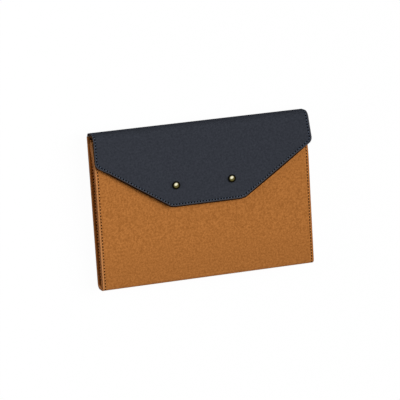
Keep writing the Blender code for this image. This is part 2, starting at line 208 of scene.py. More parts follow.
bpy.context.scene.world = bpy.data.worlds.new("studio")
bpy.context.scene.world.use_nodes = True
room = Shading(bpy.context.scene.world.node_tree)
background = room.tree.nodes["Background"]
room.put(WHITE, background.inputs["Color"])
room.put(ROOM_LIGHT + (1 - ROOM_LIGHT) * room.looked_at(), background.inputs["Strength"])

for name, light in LIGHTS.items():
    lamp = bpy.data.objects.new(name, bpy.data.lights.new(name, "AREA"))
    lamp.data.size = light["size"]
    lamp.data.energy = light["watts"]
    aim = light["place"].to_track_quat("Z", "Y")
    lamp.matrix_world = Matrix.Translation(light["place"]) @ aim.to_matrix().to_4x4()
    lamp.visible_camera = lamp.visible_glossy = False
    bpy.context.scene.collection.objects.link(lamp)


# Shell leather
# One sheet of tan leather with a fine grain makes the front, the rounded bottom and the back, darkened a
# little along the bottom by painted shade. Its sides and its mouth are turned in round the board.
MM = 0.001
# Depths from the outside: the leather's inside, the hem's, level with the board's, and the lining's two sides
LEATHER, HEM, LINING_NEAR, WALL = 1.4 * MM, 2.5 * MM, 2.8 * MM, 3.3 * MM
GAP = 0.3 * MM
MIDDLE = 86.3 * MM
HALF_SHELL, SHELL_SHIFT = 123.3 * MM, -1.78 * MM
SHELL_LEFT, SHELL_RIGHT = SHELL_SHIFT - HALF_SHELL, SHELL_SHIFT + HALF_SHELL
# The corners of the shell's side view as (height, depth), from the mouth down, and their roundings
MOUTH, BULGE, FRONT_FOOT = (164.0 * MM, 11.8 * MM), (132.0 * MM, 21.3 * MM), (0.0, 18.2 * MM)
BACK_TOP = 168.8 * MM
SHELL_ROUNDS = [80 * MM, 4.2 * MM, 6.5 * MM]
FOOT_BLEND = 3 * MM
FRONT_INSET = 0.65 * MM
TURN_IN, TURN_SOFT = 5.0 * MM, 0.4 * MM
RIM_ROUND = 1.2 * MM
SEAM_INSET, RIGHT_CLOSER = 3.2 * MM, 0.35 * MM
GROOVE, GROOVE_WIDTH = 0.16 * MM, 0.8 * MM
# Where the pale rim, partly burnish and partly painted highlight, and the paint of the cut end, and what the
# back and the right side have less or more
PALE, PALE_LESS_BEHIND, PALE_LESS_RIGHT = (1.2 * MM, 2.4 * MM), 0.8 * MM, 2.4 * MM
PAINT, PAINT_MORE_RIGHT = (0.15 * MM, 0.5 * MM), 0.3 * MM
# The painted shade along the bottom: its share, how far up the front it rises, and where it ends under the
# bottom
BOTTOM_SHADE, BOTTOM_SHADE_UP, BOTTOM_SHADE_UNDER = 0.16, 55 * MM, (20 * MM, 75 * MM)
# Features of the leather's grain to the metre, its relief, and how much its gloss varies
MOTTLE, SPECK, PEBBLE = 480.0, 1150.0, 1300.0
GRAIN_DEPTH, GLOSS_SPREAD = 0.05 * MM, 0.16
ARC = 25
SHARP = math.radians(50)
MERGE = 0.0001 * MM
STEP_ACROSS, STEP_ALONG = 8 * MM, 5 * MM
# How far in the finer rows of a mesh lie from a rim
RIM_ROWS = np.array([0, 0.02, 0.08, 0.18, 0.32, 0.5, 0.75, 1.05, 1.4, 1.8, 2.15, 2.45, 2.8, 3.15, 3.5, 3.9,
                     4.4, 4.8, 5.2, 5.7, 6.5, 8.0]) * MM


def unit(vectors):
    """Vectors, or one, each divided by its length."""
    return vectors / np.linalg.norm(vectors, axis=-1, keepdims=True)


def length_along(points):
    """The length of a polyline up to each of its points."""
    return np.concatenate([[0.0], np.cumsum(np.linalg.norm(np.diff(points, axis=0), axis=1))])


def bent_line(corners, radii):
    """Straight runs joined by arcs of ARC points, as (length so far, points, normals left of travel).

    An arc of radius r at a corner that turns by an angle a starts r times tan(a / 2) before the corner.
    """
    corners = np.array(corners, float)
    left = np.array([[0.0, 1.0], [-1.0, 0.0]])
    points, normals = [corners[:1]], [unit(corners[1:2] - corners[:1]) @ left]
    for before, corner, after, radius in zip(corners, corners[1:], corners[2:], radii):
        come, go = unit(corner - before), unit(after - corner)
        turn = math.atan2(come @ left @ go, come @ go)
        start = corner - come * radius * math.tan(abs(turn) / 2)
        centre = start + come @ left * math.copysign(radius, turn)
        angle = np.linspace(0, turn, ARC)[:, None]
        spoke = start - centre
        points.append(centre + spoke * np.cos(angle) + spoke @ left * np.sin(angle))
        heading = come * np.cos(angle) + come @ left * np.sin(angle)
        normals.append(heading @ left)
    points = np.vstack([*points, corners[-1:]])
    normals = np.vstack([*normals, unit(corners[-1:] - corners[-2:-1]) @ left])
    return length_along(points), points, normals


def carried(line, x, station, depth):
    """Points at x across and a depth under a bent line: line(station) + depth times its normal."""
    run, points, normals = line
    y = np.interp(station, run, points[:, 0]) + depth * np.interp(station, run, normals[:, 0])
    z = np.interp(station, run, points[:, 1]) + depth * np.interp(station, run, normals[:, 1])
    return np.stack(np.broadcast_arrays(x, y - MIDDLE, z), axis=-1)


def rounding(distance, across, drop):
    """A quarter ellipse: falls by drop over the last stretch across before a rim."""
    share = 1 - np.clip(distance / across, 0, 1)
    return drop * (1 - np.sqrt(1 - share**2))


def groove_at(distance, depth):
    """The groove that a seam lies in: depth times e to the power -(distance / GROOVE_WIDTH)²."""
    return depth * np.exp(-((distance / GROOVE_WIDTH) ** 2))


def soft_step(value, low, high):
    """Rises from 0 at low to 1 at high as 3t² - 2t³."""
    t = np.clip((value - low) / (high - low), 0, 1)
    return t * t * (3 - 2 * t)


def turned_in(edge):
    """1 on the turned edge and 0 inside it."""
    return 1 - soft_step(edge, TURN_IN - TURN_SOFT, TURN_IN + TURN_SOFT)


def edge_share(edge, near, far):
    """1 up to near from an edge and 0 from far on, for both sides of a sheet."""
    return np.tile((1 - soft_step(edge, near, far)).ravel(), 2)


def from_rims(length, step, bends=()):
    """Distances over a length, close together near both its ends, with those of bends added."""
    middle = np.linspace(RIM_ROWS[-1], length - RIM_ROWS[-1], round(length / step))
    return np.unique(np.concatenate([RIM_ROWS, middle, length - RIM_ROWS, bends]))


def closed_sheet(top, under):
    """Points and quads of a sheet from the grids of its two sides, with a strip round all four borders."""
    rows, columns = top.shape[:2]
    index = np.arange(2 * rows * columns).reshape(2, rows, columns)

    def quads(grid):
        return np.stack([grid[:-1, :-1], grid[:-1, 1:], grid[1:, 1:], grid[1:, :-1]], axis=-1).reshape(-1, 4)

    rings = [np.concatenate([side[0], side[1:, -1], side[-1, -2::-1], side[-2::-1, 0]]) for side in index]
    band = np.stack([rings[0][1:], rings[0][:-1], rings[1][:-1], rings[1][1:]], axis=-1)
    faces = np.vstack([quads(index[0]), quads(index[1])[:, ::-1], band])
    return np.concatenate([top.reshape(-1, 3), under.reshape(-1, 3)]), faces


def make_piece(name, points, faces, finish, **shares):
    """A mesh at the origin, its doubles merged and its faces turned outwards; shares are values per point."""
    mesh = bpy.data.meshes.new(name)
    mesh.from_pydata(points.reshape(-1, 3).tolist(), [], faces.tolist())
    for share, values in shares.items():
        values = values.astype(np.float32).ravel()
        mesh.attributes.new(share, "FLOAT", "POINT").data.foreach_set("value", values)
    work = bmesh.new()
    work.from_mesh(mesh)
    bmesh.ops.remove_doubles(work, verts=work.verts, dist=MERGE)
    bmesh.ops.recalc_face_normals(work, faces=work.faces)
    work.to_mesh(mesh)
    work.free()
    mesh.shade_smooth()
    mesh.set_sharp_from_angle(angle=SHARP)
    mesh.materials.append(finish.material)
    made = bpy.data.objects.new(name, mesh)
    bpy.context.scene.collection.objects.link(made)
    return made


def leather_finish(name, deep, light, rim, edge_paint_and_shade, roughness, specular):
    """Dyed leather: small grain mottles the colour and pebbles the surface.

    Painted shade darkens it towards the colour of its edge paint where a mesh asks for it; its rims are
    paler, partly burnish and partly painted highlight; and its cuts carry edge paint, which on the flap is
    also painted shade along the edge.
    """
    finish = Finish(name, Roughness=roughness, Specular_IOR_Level=specular)
    mottle = finish.noise(MOTTLE, detail=3.0, roughness=0.62)
    speck = finish.noise(SPECK, detail=2.0)
    tone = mottle * 0.65 + speck * 0.35
    colour = finish.mix(finish.stretch(tone, low=0.38, high=0.62), deep, light)
    # Painted shade towards the bottom, then the pale rim with its painted highlight, then edge paint, which
    # on the flap is also painted shade
    colour = finish.mix(finish.attribute("painted_bottom_shade"), colour, edge_paint_and_shade)
    colour = finish.mix(finish.attribute("rim"), colour, rim)
    colour = finish.mix(finish.attribute("edge_paint_and_shade"), colour, edge_paint_and_shade)
    finish.fill(Base_Color=colour, Roughness=roughness - GLOSS_SPREAD / 2 + mottle * GLOSS_SPREAD)
    finish.bump(finish.pebbles(PEBBLE) * 0.7 + speck * 0.3, depth=GRAIN_DEPTH, strength=0.6)
    return finish


tan_leather = leather_finish(
    "tan_leather",
    deep=(0.292, 0.103, 0.0213),
    light=(0.474, 0.181, 0.0452),
    rim=(0.52, 0.225, 0.08),
    edge_paint_and_shade=(0.16, 0.055, 0.014),
    roughness=0.7,
    specular=0.1,
)

shell = bent_line([MOUTH, BULGE, FRONT_FOOT, (0.0, 0.0), (BACK_TOP, 0.0)], SHELL_ROUNDS)
shell_end = shell[0][-1]
front_foot = shell[0][1 + ARC + ARC // 2]


def front_share(station):
    """1 on the front wall and 0 from the bottom on."""
    return 1 - soft_step(station, front_foot - FOOT_BLEND, front_foot + FOOT_BLEND)


def narrowed(x, share):
    """The front's left edge lies a little inside the back's; x moves less and less towards the right."""
    return x + FRONT_INSET * share * (SHELL_RIGHT - x) / (2 * HALF_SHELL)


across = from_rims(2 * HALF_SHELL, STEP_ACROSS)
stations = from_rims(shell_end, STEP_ALONG, shell[0][1:-1])
turned_edge = np.minimum(np.minimum(across, across[-1] - across)[None, :], stations[:, None])
edge = np.minimum(turned_edge, (shell_end - stations)[:, None])
thickness = LEATHER + (HEM - LEATHER) * turned_in(turned_edge)
on_right = np.where(across > across[-1] / 2, 1.0, 0.0)[None, :]
on_front = front_share(stations)[:, None]
groove = groove_at(edge + on_right * RIGHT_CLOSER - SEAM_INSET, GROOVE)
fall = rounding(edge, RIM_ROUND, thickness / 2)
x = narrowed((SHELL_LEFT + across)[None, :], on_front)
top = carried(shell, x, stations[:, None], fall + groove)
under = carried(shell, x, stations[:, None], thickness - fall)
# Painted shade rises towards the front's foot and fades out under the bottom.
near_foot = soft_step(stations, front_foot - BOTTOM_SHADE_UP, front_foot)
near_foot *= 1 - soft_step(stations, *(front_foot + np.array(BOTTOM_SHADE_UNDER)))
# The pale rim is partly burnish and partly painted highlight, narrower behind and on the right.
shares = {
    "rim": edge_share(edge + (1 - on_front) * PALE_LESS_BEHIND + on_right * PALE_LESS_RIGHT, *PALE),
    "edge_paint_and_shade": edge_share(edge - on_right * PAINT_MORE_RIGHT, *PAINT),
    "painted_bottom_shade": np.tile(np.broadcast_to(BOTTOM_SHADE * near_foot[:, None], edge.shape), (2, 1)),
}
shell_leather = make_piece("shell_leather", *closed_sheet(top, under), tan_leather, **shares)
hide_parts("back_leather", "front_leather")
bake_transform(shell_leather)


# Shell seams
# Waxed tan thread, one stitch to 3.4 mm, down both sides of the shell and along the mouth and the back's
# top. Each stitch lies in the groove and dips into needle holes at its ends, dark drums of painted shade.
PITCH = 3.4 * MM
THREAD, STITCH = 0.34 * MM, 2.3 * MM
THREAD_TOP, THREAD_DIP, THREAD_FLATNESS = 0.2 * MM, 0.5 * MM, 0.8
HOLE, HOLE_TOP, HOLE_FOOT = 1.05 * MM, 0.05 * MM, -0.2 * MM
SEAM_DEPTH = GROOVE - 0.03 * MM


def turned(profile, sides):
    """Points and quads of a profile of (radius, height) turned about the third axis."""
    angle = np.linspace(0, 2 * math.pi, sides, endpoint=False)
    radius, height = np.array(profile).T
    x, y = np.outer(radius, np.cos(angle)), np.outer(radius, np.sin(angle))
    points = np.stack([x, y, np.repeat(height[:, None], sides, 1)], axis=-1)
    index = np.arange(points.shape[0] * sides).reshape(-1, sides)
    turned_on = np.roll(index, -1, axis=1)
    faces = np.stack([index[:-1], turned_on[:-1], turned_on[1:], index[1:]], axis=-1).reshape(-1, 4)
    return points.reshape(-1, 3), faces


def thread_shape():
    """One stitch along the first axis: rings of 6 points, thin at both ends, which dip into the leather."""
    t = np.linspace(-1, 1, 7)
    radius = THREAD * np.sqrt(np.clip(1 - t**6, 0, 1))
    points, faces = turned(np.stack([radius, t], axis=-1), 6)
    along = points[:, 2] * STITCH / 2
    rise = THREAD_TOP - THREAD_DIP * points[:, 2] ** 4
    return np.stack([along, points[:, 0], points[:, 1] * THREAD_FLATNESS + rise], axis=-1), faces


def hole_shape():
    """A needle hole: a low drum whose top lies just over the leather, dark with the hole's painted shade."""
    return turned([(0, HOLE_TOP), (HOLE, HOLE_TOP), (HOLE, HOLE_FOOT), (0, HOLE_FOOT)], 8)


def along_path(path, first, last, pitch):
    """Points every pitch along a polyline of (x, station), between two lengths along it."""
    run = length_along(path)
    count = max(round((run[-1] - last - first) / pitch), 1)
    wanted = np.linspace(first, run[-1] - last, count + 1)
    return np.stack([np.interp(wanted, run, path[:, i]) for i in (0, 1)], axis=-1)


def straight(x0, s0, x1, s1, trim0=0.0, trim1=0.0):
    """Needle holes along a straight seam from one (x, station) to another."""
    return along_path(np.array([[x0, s0], [x1, s1]]), trim0, trim1, PITCH)


def seam(name, line, paths, depth, thread, hole_shade, facing=1):
    """Stitches and needle holes of painted shade along paths of (x, station) on a bent line, as two meshes.

    A stitch spans from hole to hole. Its frame is the run between them, the way out of the leather, and
    across. Facing is 1 on the outside of the line and -1 inside it.
    """
    origins, frames, pierced, pierced_frames = [], [], [], []
    for path in paths:
        spots = carried(line, path[:, 0], path[:, 1], depth)
        out = unit(carried(line, path[:, 0], path[:, 1], depth - facing * MM) - spots)
        run = unit(np.diff(spots, axis=0))
        rise = out[1:] + out[:-1]
        rise = unit(rise - run * np.sum(rise * run, axis=1)[:, None])
        origins.append((spots[1:] + spots[:-1]) / 2)
        frames.append(np.stack([run, np.cross(rise, run), rise], axis=1))
        sideways = unit(np.cross(out, np.vstack([run, run[-1:]])))
        pierced.append(spots)
        pierced_frames.append(np.stack([np.cross(sideways, out), sideways, out], axis=1))
    made = []
    for part, shape, places, turns, finish in (
        ("thread", thread_shape(), origins, frames, thread),
        ("hole_shades", hole_shape(), pierced, pierced_frames, hole_shade),
    ):
        places, turns = np.concatenate(places), np.concatenate(turns)
        points = places[:, None] + shape[0] @ turns
        faces = shape[1][None] + len(shape[0]) * np.arange(len(places))[:, None, None]
        made.append(make_piece(name + "_" + part, points, faces.reshape(-1, 4), finish))
    return made


def thread_finish(name, colour, tip):
    """Waxed thread, a little fuzzy, with darker twists."""
    finish = Finish(name, Roughness=0.6, Specular_IOR_Level=0.3)
    twist = finish.noise(2600.0, detail=1.0)
    finish.fill(Base_Color=finish.mix(finish.stretch(twist, low=0.3, high=0.7), colour, tip))
    finish.bump(twist, depth=0.05 * MM, strength=0.5)
    return finish


def hole_shade_finish(name, colour):
    """The painted shade in a needle hole, a little mottled."""
    finish = Finish(name, Roughness=0.9, Specular_IOR_Level=0.0)
    lighter = tuple(1.6 * part for part in colour)
    finish.fill(Base_Color=finish.mix(finish.noise(1800.0, detail=1.0), colour, lighter))
    return finish


tan_thread = thread_finish("tan_thread", (0.5, 0.2, 0.055), (0.68, 0.3, 0.1))
# Painted shade in the needle holes
tan_hole_shade = hole_shade_finish("tan_hole_shade", (0.02, 0.006, 0.0015))

left_row, right_row = SHELL_LEFT + SEAM_INSET, SHELL_RIGHT - SEAM_INSET + RIGHT_CLOSER
mouth_row, top_row = SEAM_INSET, shell_end - SEAM_INSET
rows = [straight(x_row, mouth_row, x_row, top_row) for x_row in (left_row, right_row)]
rows += [straight(left_row, s_row, right_row, s_row, PITCH, PITCH) for s_row in (mouth_row, top_row)]
for row in rows:
    row[:, 0] = narrowed(row[:, 0], front_share(row[:, 1]))
for stitches in seam("shell_seam", shell, rows, SEAM_DEPTH, tan_thread, tan_hole_shade):
    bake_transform(stitches)


# Shell board and lining
# Grey board stiffens both walls. Brown suede lines them as one sheet, glued down inside the turned edges,
# from the mouth round the bottom to the top of the back.
LINING_MARGIN, LINING_RIM, LINING_STEP = 1.0 * MM, 0.25 * MM, 4 * MM
LINING_ROWS = np.array([0, 0.1, 0.3, 0.8, 2.0, 4.0]) * MM


def dress(finish, *names):
    """Puts a finish on solids whose own shape is shown."""
    for name in names:
        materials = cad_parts[name].data.materials
        materials.clear()
        materials.append(finish.material)


def nap_finish(name, dark, light):
    """Brushed suede or cloth: short nap in two tones, with slow streaks."""
    finish = Finish(name, Roughness=0.92, Specular_IOR_Level=0.1)
    nap = finish.noise(2200.0, detail=3.0, roughness=0.7) * 0.7 + finish.noise(90.0, detail=2.0) * 0.3
    finish.fill(Base_Color=finish.mix(finish.stretch(nap, low=0.35, high=0.65), dark, light))
    finish.bump(nap, depth=0.08 * MM, strength=0.5)
    return finish


def stations_between(start, end, step, *rims):
    """Stations of the shell's line every step from start to end, with its bends and those of rims added."""
    bends = shell[0][(shell[0] > start) & (shell[0] < end)]
    return np.unique(np.concatenate([np.arange(start, end, step), bends, *rims]))


board = Finish("grey_board", Roughness=0.9, Specular_IOR_Level=0.1)
flecks = board.noise(900.0, detail=4.0, roughness=0.7)
board.fill(Base_Color=board.mix(flecks, (0.27, 0.25, 0.23), (0.43, 0.41, 0.38)))
board.bump(flecks, depth=0.1 * MM, strength=0.5)
dress(board, "back_board", "front_board", "flap_board")

brown_suede = nap_finish("brown_suede", (0.13, 0.052, 0.017), (0.26, 0.115, 0.042))

width = 2 * (HALF_SHELL - LINING_MARGIN)
across = np.unique(np.concatenate([LINING_ROWS, np.linspace(0, width, 40), width - LINING_ROWS]))
start, end = LINING_MARGIN, shell_end
stations = stations_between(start, end, LINING_STEP, start + LINING_ROWS, end - LINING_ROWS)
edge = np.minimum(
    np.minimum(across, width - across)[None, :], np.minimum(stations - start, end - stations)[:, None]
)
fall = rounding(edge, LINING_RIM, (WALL - LINING_NEAR) / 2)
x = narrowed((SHELL_SHIFT - width / 2 + across)[None, :], front_share(stations)[:, None])
near = carried(shell, x, stations[:, None], LINING_NEAR + fall)
far = carried(shell, x, stations[:, None], WALL - fall)
shell_lining = make_piece("shell_lining", *closed_sheet(near, far), brown_suede)
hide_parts("back_lining", "front_lining")
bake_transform(shell_lining)


# Slip pocket
# A patch of thin tan leather with a thumb notch in its upper edge, sewn to the back lining along its sides
# and its foot, for cards and loose sheets.
POCKET_NEAR, POCKET_SHEET, POCKET_HALF = 3.6 * MM, 0.8 * MM, 103.3 * MM
POCKET_FOOT, POCKET_TOP = 9.5 * MM, 104.0 * MM
POCKET_CORNER, THUMB = 6.0 * MM, 12.0 * MM
POCKET_SEAM, POCKET_SEAM_TRIM = 2.5 * MM, 2 * MM
# The rim, the groove and the seam's depth of a thin sheet, and where its pale rim, partly painted highlight,
# ends
THIN_RIM, THIN_GROOVE, THIN_SEAM_DEPTH = 0.4 * MM, 0.12 * MM, 0.1 * MM
POCKET_PALE = (0.3 * MM, 0.9 * MM)


def distance_to(path, x, y):
    """The distance from each point to the nearest part of a polyline."""
    start, step = path[:-1], np.diff(path, axis=0)
    dx, dy = x.ravel()[:, None] - start[:, 0], y.ravel()[:, None] - start[:, 1]
    share = np.clip((dx * step[:, 0] + dy * step[:, 1]) / np.sum(step**2, axis=1), 0, 1)
    gap = np.hypot(dx - share * step[:, 0], dy - share * step[:, 1])
    return gap.min(axis=1).reshape(x.shape)


def on_back(height):
    """The station on the shell's line for a height on the back."""
    return shell_end - (BACK_TOP - height)


swing = np.sin(np.linspace(0, math.pi / 2, 15))
corner_start = POCKET_HALF - POCKET_CORNER
half_x = np.concatenate(
    [THUMB * swing, np.linspace(THUMB, corner_start, 20)[1:-1], corner_start + POCKET_CORNER * swing]
)
x = np.concatenate([-half_x[:0:-1], half_x])
past_corner = np.clip(np.abs(x) - corner_start, 0, None)
foot = POCKET_FOOT + POCKET_CORNER - np.sqrt(np.clip(POCKET_CORNER**2 - past_corner**2, 0, None))
head = POCKET_TOP - np.sqrt(np.clip(THUMB**2 - x**2, 0, None))
rises = np.linspace(0, 1, 24)[1:-1, None]
first, last = foot + RIM_ROWS[-1], head - RIM_ROWS[-1]
height = np.vstack([foot + RIM_ROWS[:, None], first + rises * (last - first), head - RIM_ROWS[::-1, None]])
x = np.broadcast_to(x, height.shape)
sewn = np.stack([x[0], foot], axis=-1)
sewn = np.vstack([[x[0, 0], POCKET_TOP], sewn, [x[0, -1], POCKET_TOP]])
open_top = np.stack([x[0], head], axis=-1)
to_sewn = distance_to(sewn, x, height)
edge = np.minimum(to_sewn, distance_to(open_top, x, height))
fall = rounding(edge, THIN_RIM, POCKET_SHEET / 2)
groove = groove_at(to_sewn - POCKET_SEAM, THIN_GROOVE)
near = carried(shell, SHELL_SHIFT + x, on_back(height), POCKET_NEAR + fall)
far = carried(shell, SHELL_SHIFT + x, on_back(height), POCKET_NEAR + POCKET_SHEET - fall - groove)
pale = edge_share(edge, *POCKET_PALE)
pocket = make_piece("slip_pocket_patch", *closed_sheet(near, far), tan_leather, rim=pale)
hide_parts("slip_pocket")
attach(pocket, "back")

half, low = POCKET_HALF - POCKET_SEAM, POCKET_FOOT + POCKET_SEAM
bend = POCKET_CORNER - POCKET_SEAM
u_line = bent_line([(-half, POCKET_TOP), (-half, low), (half, low), (half, POCKET_TOP)], [bend, bend])[1]
path = along_path(u_line, POCKET_SEAM_TRIM, POCKET_SEAM_TRIM, PITCH)
path = np.stack([SHELL_SHIFT + path[:, 0], on_back(path[:, 1])], axis=-1)
depth = POCKET_NEAR + POCKET_SHEET - THIN_SEAM_DEPTH
for stitches in seam("slip_pocket_seam", shell, [path], depth, tan_thread, tan_hole_shade, facing=-1):
    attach(stitches, "back")


# Gussets
# A strip of leather closes each side, a little darker than the shell as painted shade of the narrow gap.
# Its two margins are sewn to the walls and meet round the bottom, and the rest folds inwards like a bellows,
# shallower towards the mouth.
MARGIN, FOLD_IN, SHEET = 5.0 * MM, 12.0 * MM, 0.8 * MM
MARGIN_INSET = 2.0 * MM
GUSSET_NEAR = WALL + GAP
# Where the margins' pale rim, partly painted highlight, ends
GUSSET_PALE = (0.3 * MM, 0.8 * MM)
BELLOWS_FOOT, BELLOWS_TOP = 6.5 * MM, 158 * MM
# Samples round the bellows and up it, and those to each side of one in the running mean
BELLOWS_ROUND, BELLOWS_UP, FOLD_MEAN = 61, 60, 3
MARGIN_ROWS = np.array([0, 0.1, 0.25, 0.45, 0.8, 1.3, 1.8, 2.2, 2.5, 2.8, 3.1, 3.4, 3.8, 4.3, 4.7, 5]) * MM

# Colours a little darker than the shell's: painted shade of the narrow gap between the walls
gusset_leather = leather_finish(
    "gusset_leather",
    deep=(0.25, 0.076, 0.0115),
    light=(0.44, 0.145, 0.0245),
    rim=(0.46, 0.185, 0.06),
    edge_paint_and_shade=(0.16, 0.05, 0.01),
    roughness=0.7,
    specular=0.05,
)
gusset_thread = thread_finish("gusset_thread", (0.4, 0.14, 0.03), (0.6, 0.25, 0.08))
# Painted shade in the needle holes
gusset_hole_shade = hole_shade_finish("gusset_hole_shade", (0.003, 0.001, 0.0004))

start, end = MARGIN_INSET, shell_end - MARGIN_INSET
stations = stations_between(start, end, STEP_ALONG, [end])


def between_walls(share, height):
    """The depth of a point of the bellows: on the back wall's inside at 0, on the front wall's at 1."""
    inside = GUSSET_NEAR + SHEET / 2
    front = (shell[1] + shell[2] * inside)[ARC + 1 :: -1]
    front_depth = np.interp(height, front[:, 0], front[:, 1])
    return inside + (front_depth - inside) * share


def bellows(edge_x, inwards):
    """The folded part, as the grid of its two sides.

    Its middle line runs from the back margin to the fold and on to the front margin; a running mean
    rounds the fold, and each side lies half a sheet out along the line's normal.
    """
    share = np.linspace(0, 1, BELLOWS_ROUND)
    heights = np.linspace(BELLOWS_FOOT, BELLOWS_TOP, BELLOWS_UP)
    way = MARGIN + FOLD_IN * (1 - np.abs(2 * share - 1))
    mean = np.ones(2 * FOLD_MEAN + 1) / (2 * FOLD_MEAN + 1)
    way = np.convolve(np.pad(way, FOLD_MEAN, mode="reflect", reflect_type="odd"), mean, mode="valid")
    depth = between_walls(share[None, :], heights[:, None])
    step_in = np.gradient(way)[None, :]
    step_up = np.gradient(depth, axis=1)
    length = np.hypot(step_in, step_up)
    sides = []
    for sign in (1, -1):
        t = way[None, :] - sign * step_up / length * SHEET / 2
        z = depth + sign * step_in / length * SHEET / 2
        y = np.broadcast_to(heights[:, None] - MIDDLE, z.shape)
        sides.append(np.stack([narrowed(edge_x + inwards * t, share[None, :]), y, z], axis=-1))
    return sides


for side, inwards, edge_x in (("left", 1, SHELL_LEFT), ("right", -1, SHELL_RIGHT)):
    x = narrowed((edge_x + inwards * MARGIN_ROWS)[None, :], front_share(stations)[:, None])
    edge = np.minimum(MARGIN_ROWS[None, :], (end - stations)[:, None])
    fall = rounding(edge, THIN_RIM, SHEET / 2)
    groove = groove_at(MARGIN_ROWS - SEAM_INSET, THIN_GROOVE)[None, :]
    near = carried(shell, x, stations[:, None], GUSSET_NEAR + fall)
    far = carried(shell, x, stations[:, None], GUSSET_NEAR + SHEET - fall - groove)
    margin_points, margin_faces = closed_sheet(near, far)
    fold_points, fold_faces = closed_sheet(*bellows(edge_x, inwards))
    points = np.vstack([margin_points, fold_points])
    faces = np.vstack([margin_faces, fold_faces + len(margin_points)])
    pale = edge_share(np.broadcast_to(MARGIN_ROWS, edge.shape), *GUSSET_PALE)
    pale = np.concatenate([pale, np.zeros(len(fold_points))])
    gusset = make_piece("gusset_" + side + "_folded", points, faces, gusset_leather, rim=pale)
    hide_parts("gusset_" + side)
    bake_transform(gusset)

    row_x = edge_x + inwards * SEAM_INSET
    path = straight(row_x, start + MM, row_x, end - MM)
    path[:, 0] = narrowed(path[:, 0], front_share(path[:, 1]))
    depth = GUSSET_NEAR + SHEET - THIN_SEAM_DEPTH
    for stitches in seam("gusset_seam_" + side, shell, [path], depth, gusset_thread, gusset_hole_shade, facing=-1):
        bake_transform(stitches)


# Flap leather
# One sheet of navy leather, nearly smooth. Its root is tucked in between the back leather and the lining;
# from there it wraps over the top edge and ends on the front in a point cut square, its edges turned in.
HALF_FLAP, HALF_ROOT, FLAP_SHIFT = 123.7 * MM, 117.3 * MM, -0.98 * MM
FLAP_LEFT, FLAP_RIGHT = FLAP_SHIFT - HALF_FLAP, FLAP_SHIFT + HALF_FLAP
ROOT_FOOT, ROOT_TOP, ROOT_SHEET, ROOT_STEP = 145.9 * MM, 169.1 * MM, 0.8 * MM, 3 * MM
FOLD_HEIGHT, FLAP_FOOT, FLAP_DEPTH = 172.6 * MM, 83.7 * MM, 24.624 * MM
FOLD_ROUNDS = [3.5 * MM, 10.0 * MM]
# The outline's corners on the front, as heights and as x; its left slope is cut a little closer
SHOULDERS, TIP_LEFT, TIP_RIGHT = (136.3 * MM, 138.9 * MM), -43.63 * MM, 42.2 * MM
SHOULDER_ROUND, TIP_ROUND, CLOSE_CUT = 8.0 * MM, 4.0 * MM, 1.3 * MM
FLARE, FLARE_TOP = 2.9 * MM, 162.6 * MM
STIFF_TOP, STIFF_SOFT = 156.6 * MM, 2 * MM
FLAP_SEAM, SEAM_OFF = 2.75 * MM, (-0.45 * MM, 0.55 * MM)
FLAP_RIM = 1.0 * MM
# The pale rim with its painted highlight, and the edge paint that is also painted shade, reach further in
# along the point
FLAP_PALE, FLAP_PAINT_AND_SHADE, POINT_WIDER, POINT_BLEND = (1.0 * MM, 1.5 * MM), (0.1 * MM, 0.6 * MM), 1.2 * MM, 8 * MM
FILL_COLUMNS, FILL_ROWS = 40, 90

navy_leather = leather_finish(
    "navy_leather",
    deep=(0.0275, 0.0305, 0.039),
    light=(0.0415, 0.0455, 0.0575),
    rim=(0.06, 0.061, 0.069),
    edge_paint_and_shade=(0.02, 0.0085, 0.004),
    roughness=0.72,
    specular=0.0,
)

fold = bent_line(
    [(ROOT_FOOT, LEATHER), (FOLD_HEIGHT, LEATHER), (FOLD_HEIGHT, FLAP_DEPTH), (FLAP_FOOT, FLAP_DEPTH)],
    FOLD_ROUNDS,
)
root_end = ROOT_TOP - ROOT_FOOT
back_fold = fold[0][1 + ARC // 2]
split = (fold[0][ARC] + fold[0][ARC + 1]) / 2


def flap_edges(edge, height):
    """The shares of the pale rim with its painted highlight and of the brown edge paint, which along the edge
    is also painted shade; both wider along the point than above it.
    """
    wider = POINT_WIDER * (1 - soft_step(height, SHOULDERS[0] - POINT_BLEND, SHOULDERS[0]))
    return {"rim": edge_share(edge - wider, *FLAP_PALE), "edge_paint_and_shade": edge_share(edge - wider, *FLAP_PAINT_AND_SHADE)}


across = from_rims(2 * HALF_FLAP, STEP_ACROSS)
edge = np.minimum(across, across[-1] - across)[None, :]
tucked = np.concatenate([np.arange(0, root_end, ROOT_STEP), [root_end - 0.1 * MM]])
wrapped = [root_end + np.array([0.05, 0.3, 0.6]) * MM, fold[0][1 : ARC + 1], [split - 2 * MM, split]]
stations = np.concatenate([tucked, np.unique(np.concatenate(wrapped))])[:, None]
in_root = np.arange(len(stations))[:, None] < len(tucked)
half = np.where(in_root, HALF_ROOT, HALF_FLAP)
x = np.where(in_root, SHELL_SHIFT, FLAP_SHIFT) + (across / HALF_FLAP - 1)[None, :] * half
from_seam = np.abs(np.abs(x - FLAP_SHIFT - SEAM_OFF[0]) - (HALF_FLAP - FLAP_SEAM))
fall = rounding(edge, FLAP_RIM, LEATHER / 2)
near = np.where(in_root, GAP, fall + groove_at(from_seam, GROOVE))
far = np.where(in_root, GAP + ROOT_SHEET, LEATHER - fall)
flap_back = make_piece(
    "flap_leather_back",
    *closed_sheet(carried(fold, x, stations, near), carried(fold, x, stations, far)),
    navy_leather,
    **flap_edges(np.broadcast_to(edge, x.shape), FOLD_HEIGHT),
)
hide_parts("flap_tail")
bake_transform(flap_back)


def flare_at(height):
    """How far the right edge stands out, more and more from the fold to the shoulder."""
    return FLARE * np.clip((FLARE_TOP - height) / (FLARE_TOP - SHOULDERS[1]), 0, None)


